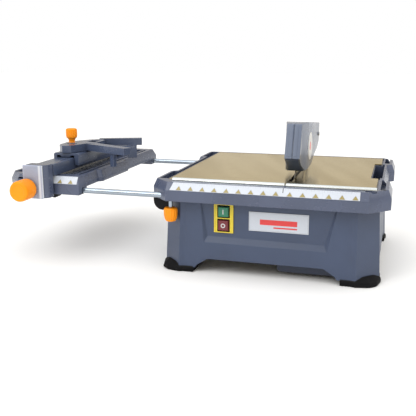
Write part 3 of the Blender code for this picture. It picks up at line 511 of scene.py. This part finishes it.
def floor():
    """A wide pale floor."""
    bm = bmesh.new()
    bmesh.ops.create_grid(bm, x_segments=8, y_segments=8, size=14.0)
    bmesh.ops.translate(bm, verts=bm.verts, vec=(0, 0, -0.0004))
    mesh = bpy.data.meshes.new("floor")
    bm.to_mesh(mesh)
    bm.free()
    obj = bpy.data.objects.new("floor", mesh)
    bpy.context.scene.collection.objects.link(obj)
    look = Look("pale_floor", Specular_IOR_Level=0.1)
    shade = look.mix(look.fit(look.noise(3.0, 4.0), 0.3, 0.7), (0.93, 0.93, 0.93), (0.95, 0.95, 0.95))
    mesh.materials.append(look.paint(shade, look.fit(look.noise(40.0), 0.3, 0.7, 0.75, 0.85)))
    obj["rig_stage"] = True


# Colours of the surroundings from the horizon up to overhead.
SKY = ((0.085, (1.0, 1.0, 1.0)), (0.12, (0.60, 0.53, 0.40)), (0.34, (0.72, 0.67, 0.58)),
       (0.85, (1.50, 1.50, 1.50)))


def sky():
    """Studio surroundings: white at the horizon, a warm dim band above it and a bright ceiling."""
    world = bpy.data.worlds.new("studio")
    bpy.context.scene.world = world
    world.use_nodes = True
    tree = world.node_tree
    split = tree.nodes.new("ShaderNodeSeparateXYZ")
    tree.links.new(tree.nodes.new("ShaderNodeTexCoord").outputs["Generated"], split.inputs[0])
    ramp = tree.nodes.new("ShaderNodeValToRGB")
    tree.links.new(split.outputs["Z"], ramp.inputs["Fac"])
    stops = ramp.color_ramp.elements
    while len(stops) < len(SKY):
        stops.new(0.5)
    for stop, (height, tint) in zip(stops, SKY):
        stop.position = height
        stop.color = (*tint, 1.0)
    tree.links.new(ramp.outputs["Color"], tree.nodes["Background"].inputs["Color"])


def softbox(name, place, target, size, power, tint):
    """A square area light that faces a point of the object."""
    light = bpy.data.lights.new(name, "AREA")
    light.shape = "SQUARE"
    light.size = size
    light.energy = power
    light.color = tint
    obj = bpy.data.objects.new(name, light)
    obj.location = place
    obj.rotation_euler = (Vector(target) - Vector(place)).to_track_quat("-Z", "Y").to_euler()
    bpy.context.scene.collection.objects.link(obj)


floor()
sky()
softbox("key", (-1.1, -2.3, 2.2), (0, 0, 0.1), 1.8, 30.0, (0.96, 0.98, 1.0))
softbox("fill", (2.2, -0.6, 1.7), (0, 0, 0.1), 1.8, 8.0, (1.0, 0.97, 0.92))


# ---------------------------------------------------------------- knobs and rods

KNOB_ROUNDING = 1.2
KNOB_STEPS = 168        # points round a knob
STEM = 5.0              # no scallops this close to the axis


def knob(node, centre, axis, profile, lobes, depth, fluted):
    """A moulded knob with scalloped grips round its rim, between the two heights in fluted."""
    rounded = soft_profile(profile, KNOB_ROUNDING)
    rows = [i for i, (radius, height) in enumerate(rounded)
            if fluted[0] <= height <= fluted[1] and radius > STEM]
    bm = turned(rounded, centre, axis, KNOB_STEPS, lobes, depth, rows)
    piece(f"{node}_grip", bm, NODES[node]["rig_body"], SLOT_OF[node], stands_for=(node,))


def centre_of(node):
    low, high = node_box(node)
    return (low + high) / 2


KNOB = centre_of("fence_knob")
knob("fence_knob", (KNOB.x, 0, KNOB.z), "y",
     [(0, -33.5), (19, -33.5), (21.4, -36.5), (22, -40), (22, -69), (20.4, -72.8), (17, -74), (14.4, -74),
      (13.6, -73.4), (0, -73.4)], lobes=48, depth=0.45, fluted=(-70, -38))
CLAMP = centre_of("rod_clamp_knob")
knob("rod_clamp_knob", (CLAMP.x, CLAMP.y, 0), "z",
     [(0, 137.5), (8, 137.5), (12.6, 136.6), (14.4, 133.5), (14.75, 130), (14.3, 121), (12.8, 113),
      (10.6, 108.8), (7, 107.3), (5, 107), (0, 107)], lobes=16, depth=0.8, fluted=(111, 134))
PIVOT = centre_of("mitre_knob")
knob("mitre_knob", (PIVOT.x, PIVOT.y, 0), "z",
     [(0, 280.4), (7, 280.4), (7.6, 281), (9.6, 281), (12.2, 279.8), (13, 276.8), (13, 264), (12, 260.2),
      (8.5, 257), (7, 253), (7, 250), (8, 248.6), (0, 248.6)], lobes=16, depth=0.9, fluted=(261.5, 278))

ROD_CHAMFER = 0.7


def rod(end):
    """A guide rod: a round bar with a chamfer at each end."""
    low, high = node_box(f"guide_rod_{end}")
    radius = (high.z - low.z) / 2
    middle = (0, (low.y + high.y) / 2, (low.z + high.z) / 2)
    profile = [(0, high.x), (radius - ROD_CHAMFER, high.x), (radius, high.x - ROD_CHAMFER),
               (radius, low.x + ROD_CHAMFER), (radius - ROD_CHAMFER, low.x), (0, low.x)]
    piece(f"guide_rod_{end}_bar", turned(profile, middle, "x", 72), "extension", "chrome",
          stands_for=(f"guide_rod_{end}",))


rod("front")
rod("rear")


# ---------------------------------------------------------------- front rail and printed rulers

NOTCH = 1.6             # half the width of the rail's notch
NOTCH_FLOOR = 1.9       # how much of the rail is left under the notch


def front_rail():
    """Half-round drawn bar with a sawn notch at the blade."""
    low, high = node_box("front_rail")
    radius, middle = (high.y - low.y) / 2, (low.y + high.y) / 2
    arc = [math.pi * step / 28 for step in range(29)]
    outline = [(middle + radius * math.cos(a), low.z + radius * math.sin(a)) for a in arc]
    bridge = block((-NOTCH - 0.5, low.y + 1.5, low.z), (NOTCH + 0.5, high.y - 1.5, low.z + NOTCH_FLOOR))
    parts = [prism(outline, low.x, -NOTCH, "x"), prism(outline, NOTCH, high.x, "x"), bridge]
    piece("front_rail_bar", merged(parts), "base", "aluminium", stands_for=("front_rail",), edge=0.5)


RIM_FOOT = 176.5        # where the sloping rim starts, above the floor
RIM_RISE, RIM_RUN = 16.5, 10.4
RIM_LEAN = math.atan2(RIM_RISE, RIM_RUN)
RULER_FACE = 1.15       # the ruler's printed face above the rim
MARK_PITCH = 25.0       # between the ruler's triangles
FIRST_MARK = 13.7       # from the blade to the nearest triangle on each side
TICK_PITCH = 5
TICK_HALF = 0.2


def on_rim(x, up, out):
    """A point on the sloping front rim, so far up it and so far out from it."""
    return (x, up * math.cos(RIM_LEAN) - out * math.sin(RIM_LEAN),
            RIM_FOOT + up * math.sin(RIM_LEAN) + out * math.cos(RIM_LEAN))


def rim_print(name, shapes, body, look, thick):
    """Thin printed shapes on a ruler strip. Each shape lists (x, distance up the rim)."""
    bm = bmesh.new()
    for shape in shapes:
        rings = [[bm.verts.new(ORIGIN + Vector(on_rim(x, up, out)) * MM) for x, up in shape]
                 for out in (RULER_FACE, RULER_FACE + thick)]
        bm.faces.new(rings[0])
        bm.faces.new(rings[1])
        for i in range(len(shape)):
            j = (i + 1) % len(shape)
            bm.faces.new((rings[0][i], rings[0][j], rings[1][j], rings[1][i]))
    piece(name, bm, body, "label", look)


def triangle(x, half, foot, tip):
    return [(x - half, foot), (x + half, foot), (x, tip)]


def bar(x, half, foot, tip):
    return [(x - half, foot), (x + half, foot), (x + half, tip), (x - half, tip)]


def ruler(node, marks, first, last):
    """A ruler's strip with a triangle at each mark and fine ticks along its top, every fifth one longer."""
    body = NODES[node]["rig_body"]
    refined(node, 0.3)
    rim_print(f"{node}_shadows", [triangle(x, 6.4, 1.5, 11.6) for x in marks], body, GREY_INK, 0.06)
    rim_print(f"{node}_triangles", [triangle(x, 5.4, 2.0, 10.4) for x in marks], body, GOLD_INK, 0.12)
    ticks = []
    for number in range((last - first) // TICK_PITCH + 1):
        foot = 15.4 if number % 5 else 14.0
        ticks.append(bar(first + TICK_PITCH * number, TICK_HALF, foot, 17.6))
    rim_print(f"{node}_ticks", ticks, body, GREY_INK, 0.06)


front_rail()
RIGHT_MARKS = [FIRST_MARK + MARK_PITCH * i for i in range(6)]
LEFT_MARKS = [-FIRST_MARK - MARK_PITCH * i for i in range(9)]
EXTENSION_MARKS = [-508 + MARK_PITCH * i for i in range(3)]
ruler("table_ruler", RIGHT_MARKS + LEFT_MARKS, -220, 140)
ruler("extension_ruler", EXTENSION_MARKS, -540, -450)
rim_print("table_ruler_zero", [bar(0, 0.7, 8.5, 18.4)], "base", BLACK_INK, 0.14)


# ---------------------------------------------------------------- switch, label and badge

def frame_bars(x, z, width, y):
    """Four bars round a rectangle in the front plane."""
    return merged([block((x[0], y[0], z[0]), (x[1], y[1], z[0] + width)),
                   block((x[0], y[0], z[1] - width), (x[1], y[1], z[1])),
                   block((x[0], y[0], z[0] + width), (x[0] + width, y[1], z[1] - width)),
                   block((x[1] - width, y[0], z[0] + width), (x[1], y[1], z[1] - width))])


SWITCH_RIM_INSET, SWITCH_RIM_WIDTH = 0.4, 2.2
SURROUND_GROW, SURROUND_WIDTH = 2.3, 1.7        # the surround's outer edge is this far outside the button
SYMBOL_PROUD, SYMBOL_SUNK = 0.18, 0.2


def switch():
    """Raised rims on the yellow plate, a dark surround for each button, and the symbols on them."""
    low, high = node_box("switch_plate")
    refined("switch_plate", 0.8)
    rim = frame_bars((low.x + SWITCH_RIM_INSET, high.x - SWITCH_RIM_INSET),
                     (low.z + SWITCH_RIM_INSET, high.z - SWITCH_RIM_INSET), SWITCH_RIM_WIDTH,
                     (low.y - 1.0, low.y + 0.2))
    piece("switch_rim", rim, "base", "yellow_plastic", edge=0.4)
    for name in ("start", "stop"):
        near, far = node_box(f"{name}_button")
        bars = frame_bars((near.x - SURROUND_GROW, far.x + SURROUND_GROW),
                          (near.z - SURROUND_GROW, far.z + SURROUND_GROW), SURROUND_WIDTH,
                          (low.y - 0.7, low.y + 0.1))
        piece(f"{name}_surround", bars, "base", "black_plastic", edge=0.3)
        refined(f"{name}_button", 1.0)
    x, z, front, back = symbol_place("start_button")
    piece("start_symbol", block((x - 1.0, front, z - 5), (x + 1.0, back, z + 5)), "start_button",
          "green_plastic", WHITE_INK, edge=0.1)
    x, z, front, back = symbol_place("stop_button")
    ring = [(2.7, back), (2.7, front), (4.8, front), (4.8, back), (2.7, back)]
    piece("stop_symbol", turned(ring, (x, 0, z), "y", 48), "stop_button", "red_plastic", WHITE_INK)


def symbol_place(node):
    """The middle of a button's face, and how far forward and back its symbol reaches."""
    low, high = node_box(node)
    return (low.x + high.x) / 2, (low.z + high.z) / 2, low.y - SYMBOL_PROUD, low.y + SYMBOL_SUNK


BAND_PROUD, BORDER_PROUD = 0.12, 0.08
BORDER_INSET, BORDER_WIDTH = 1.6, 0.5


def label():
    """The information plate: a plain red band with a thinner one below and a fine border."""
    low, high = node_box("label_plate")
    refined("label_plate", 0.3)
    centre = (low.x + high.x) / 2
    front, back = low.y - BAND_PROUD, low.y + 0.1
    bands = [block((centre - 38, front, low.z + 14), (centre + 38, back, low.z + 25)),
             block((centre - 10, front, low.z + 7.5), (centre + 38, back, low.z + 10.5))]
    piece("label_bands", merged(bands), "base", "label", RED_INK)
    border = frame_bars((low.x + BORDER_INSET, high.x - BORDER_INSET),
                        (low.z + BORDER_INSET, high.z - BORDER_INSET),
                        BORDER_WIDTH, (low.y - BORDER_PROUD, back))
    piece("label_border", border, "base", "label", GREY_INK)


BADGE_Y, BADGE_Z = 197.0, 252.0
BADGE_RADIUS, SPOT_RADIUS = 30.0, 9
BADGE_PROUD, SPOT_PROUD = 0.7, 0.85


def badge():
    """A round plate on the guard's right side with a plain red spot."""
    face = node_box("guard_right")[1].x
    ring = [2 * math.pi * step / 72 for step in range(72)]
    for name, radius, proud, look in (("guard_badge", BADGE_RADIUS, BADGE_PROUD, WHITE_INK),
                                      ("guard_badge_spot", SPOT_RADIUS, SPOT_PROUD, RED_INK)):
        outline = [(BADGE_Y + radius * math.cos(a), BADGE_Z + radius * math.sin(a)) for a in ring]
        piece(name, prism(outline, face - 0.2, face + proud, "x"), "guard", "label", look)


switch()
label()
badge()


# ---------------------------------------------------------------- guard and blade

def ribbon(path, proud, sunk):
    """The outline of a raised strip that follows a path in the side view."""
    outer, inner = [], []
    for index, point in enumerate(path):
        before, after = path[max(index - 1, 0)], path[min(index + 1, len(path) - 1)]
        along = (Vector(after) - Vector(before)).normalized()
        outward = Vector((-along.y, along.x))
        outer.append(tuple(Vector(point) + outward * proud))
        inner.append(tuple(Vector(point) - outward * sunk))
    return outer + inner[::-1]


STRIP_PATH = [(103.5, 240.7), (125.5, 303.2), (132.5, 305.6), (168, 305.8), (350, 287.6)]
STRIP_PROUD, STRIP_SUNK = 0.7, 1.2
STRIP_X = (1.6, 9.5)    # how far from the blade's plane each strip starts and ends
SCREW_SPOTS = ((182, 288), (250, 280), (312, 272), (196, 220))
SCREW_RADIUS = 3.4


def guard():
    """The shells, a raised strip over each one's nose and back, the flap, the pin, and the left screws."""
    strip = ribbon(STRIP_PATH, STRIP_PROUD, STRIP_SUNK)
    for side, sign in (("left", -1), ("right", 1)):
        refined(f"guard_{side}", 2.2)
        near, far = sorted(sign * x for x in STRIP_X)
        piece(f"guard_strip_{side}", prism(strip, near, far, "x"), "guard", "grey_plastic", edge=0.5)
    refined("guard_nose", 0.8)
    refined("guard_pivot_pin", 0.6)
    face = node_box("guard_left")[0].x
    for number, spot in enumerate(SCREW_SPOTS, 1):
        guard_screw(f"guard_screw_{number}", (face, *spot))


def guard_screw(name, place):
    """A button-head screw with a round socket, standing out to the left from its place."""
    height = SCREW_RADIUS * 0.55
    profile = [(0, height * 0.35), (SCREW_RADIUS * 0.42, height * 0.35), (SCREW_RADIUS * 0.46, height),
               (SCREW_RADIUS * 0.7, height * 0.95), (SCREW_RADIUS * 0.93, height * 0.6), (SCREW_RADIUS, 0.0),
               (SCREW_RADIUS, -0.4), (0, -0.4)]
    piece(name, turned([(r, -h) for r, h in profile], place, "x", 40), "guard", "steel")


TEETH = 16
SEGMENT_DEPTH = 8.0     # of the sintered rim
KERF = 0.25             # the disc is thinner than the rim by this on each side
HALF_GAP = 0.011        # half the angle between two rim segments, in radians
# The keyhole's points: the angle past the segment's end, in radians, and the depth below the blade's edge.
SLOT = ((0, 11), (-0.020, 13), (-0.020, 16), (0.011, 18), (0.042, 16), (0.042, 13), (0.022, 11))


def blade():
    """A steel disc with a keyhole slot between each two segments of its sintered rim."""
    low, high = node_box("blade")
    centre = (0, (low.y + high.y) / 2, (low.z + high.z) / 2)
    radius = (high.z - low.z) / 2
    disc, rim = [], []
    for tooth in range(TEETH):
        start = tooth * 2 * math.pi / TEETH + HALF_GAP
        end = (tooth + 1) * 2 * math.pi / TEETH - HALF_GAP
        angles = [start + (end - start) * step / 8 for step in range(9)]
        disc += [spoke(centre, angle, radius - SEGMENT_DEPTH) for angle in angles]
        disc += [spoke(centre, end + swing, radius - depth) for swing, depth in SLOT]
        band = [spoke(centre, angle, radius) for angle in angles]
        band += [spoke(centre, angle, radius - SEGMENT_DEPTH - 0.2) for angle in reversed(angles)]
        rim.append(prism(band, low.x, high.x, "x"))
    piece("blade_disc", prism(disc, low.x + KERF, high.x - KERF, "x"), "spindle", "blade_steel",
          stands_for=("blade",))
    piece("blade_rim", merged(rim), "spindle", "blade_steel", DIAMOND, ("blade",))


def spoke(centre, angle, reach):
    """A point of the side view at an angle and distance from the centre."""
    return (centre[1] + reach * math.cos(angle), centre[2] + reach * math.sin(angle))


guard()
blade()


# ---------------------------------------------------------------- fence

RIB_PITCH, RIB_COUNT = 2.4, 15
RIB_HALF, RIB_PROUD = 0.55, 0.45
RIB_START, RIB_MARGIN = 2.6, 2.0
KNOB_ROOM = 8.0         # the ribs stop this far above and below the knob's axis
KNOB_REACH = 7.0        # and this far to each side of it they are cut


def fence_face():
    """The fence head's face: a plate with fine upright ribs and a slanting strip beside it, coloured brighter
    as a painted highlight on the chamfer.
    """
    low, high = node_box("fence_face")
    refined("fence_face", 0.8)
    bottom, top = low.z + RIB_MARGIN, high.z - RIB_MARGIN
    ribs = []
    for number in range(RIB_COUNT):
        x = low.x + RIB_START + RIB_PITCH * number
        spans = [(bottom, top)]
        if abs(x - KNOB.x) < KNOB_REACH:
            spans = [(bottom, KNOB.z - KNOB_ROOM), (KNOB.z + KNOB_ROOM, top)]
        for foot, head in spans:
            ribs.append(block((x - RIB_HALF, low.y - RIB_PROUD, foot), (x + RIB_HALF, low.y + 0.2, head)))
    piece("fence_face_ribs", merged(ribs), "fence", "pale_plastic", edge=0.25, segments=2)
    # The slanting strip gets the brighter moulding, a painted highlight on the chamfer.
    outline = [(high.x - 8.0, low.y - 1.0), (high.x + 1.2, low.y + 1.0), (high.x + 1.2, low.y + 2.9),
               (high.x - 8.0, low.y + 0.6)]
    piece("fence_face_lit_chamfer", prism(outline, low.z + 0.6, high.z - 0.4), "fence", "pale_plastic", LIT_CHAMFER_MOULDING,
          edge=0.3)


fence_face()


# ---------------------------------------------------------------- every other part

# The rounding's width in millimetres, and the fold in degrees above which an edge gets it.
SMALL_EDGE = (0.4, CREASE)
EDGES = {
    "base_housing": (1.6, 9), "table_frame": (1.1, 28), "extension_frame": (1.1, 28), "fence_head": (2.0, 28),
    "fence_bar": (1.4, 20), "mitre_saddle": (1.0, 28), "mitre_head": (1.2, 20), "water_tray": (1.0, 28),
    "foot_front_left": (0.9, 9), "foot_front_right": (0.9, 9), "foot_rear_left": (0.9, 9),
    "foot_rear_right": (0.9, 9), "clamp_lug": (1.5, 28), "extension_lug": (1.5, 28),
}
NODE_LOOKS = {"table_frame": RIM_MOULDING, "extension_frame": RIM_MOULDING, "fence_bar": SATIN_MOULDING,
              "mitre_saddle": SATIN_MOULDING, "mitre_head": SATIN_MOULDING, "fence_head": RIM_MOULDING,
              "water_tray": SHADED_TRAY_MOULDING}
done = {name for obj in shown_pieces() for name in obj.get("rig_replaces", [])}
for node in sorted(set(NODES) - done):
    width, fold = EDGES.get(node, SMALL_EDGE)
    refined(node, width, look=NODE_LOOKS.get(node), crease=fold)


SHADOW_STRIP_PROUD = 0.5        # how far the strip of painted shadow stands out from the wall
SHADOW_STRIP_WIDTH = 7.0
SHADOW_STRIP_LOW, SHADOW_STRIP_HIGH = 3.2, 0.1          # below the top of the housing
SHADOW_STRIP_CUT = 8.0          # the least that its corners are cut off


def shadow_strip():
    """A black strip between the housing and the table frame, set out from the housing's wall: a painted
    shadow where the frame overhangs the housing.
    """
    housing = NODES["base_housing"]
    points = [local(housing.matrix_world @ vert.co) for vert in housing.data.vertices]
    top = max(point.z for point in points)
    rim = [point for point in points if point.z > top - 0.2]
    low = Vector((min(p.x for p in rim), min(p.y for p in rim)))
    high = Vector((max(p.x for p in rim), max(p.y for p in rim)))
    cut = max(min(p.x for p in rim if p.y < low.y + 0.3) - low.x, SHADOW_STRIP_CUT)
    x0, y0 = low.x - SHADOW_STRIP_PROUD, low.y - SHADOW_STRIP_PROUD
    x1, y1 = high.x + SHADOW_STRIP_PROUD, high.y + SHADOW_STRIP_PROUD
    outline = [(x0 + cut, y0), (x1 - cut, y0), (x1, y0 + cut), (x1, y1 - cut), (x1 - cut, y1), (x0 + cut, y1),
               (x0, y1 - cut), (x0, y0 + cut)]
    outer = [Vector(point) for point in outline]
    middle = sum(outer, Vector((0, 0))) / len(outer)
    inner = [point + (middle - point).normalized() * SHADOW_STRIP_WIDTH for point in outer]
    parts = []
    for i in range(len(outer)):
        j = (i + 1) % len(outer)
        quad = [tuple(point) for point in (outer[i], outer[j], inner[j], inner[i])]
        parts.append(prism(quad, top - SHADOW_STRIP_LOW, top - SHADOW_STRIP_HIGH))
    # The black strip is painted shadow for the gap under the table frame.
    piece("frame_shadow_strip", merged(parts), "base", "rubber")


shadow_strip()
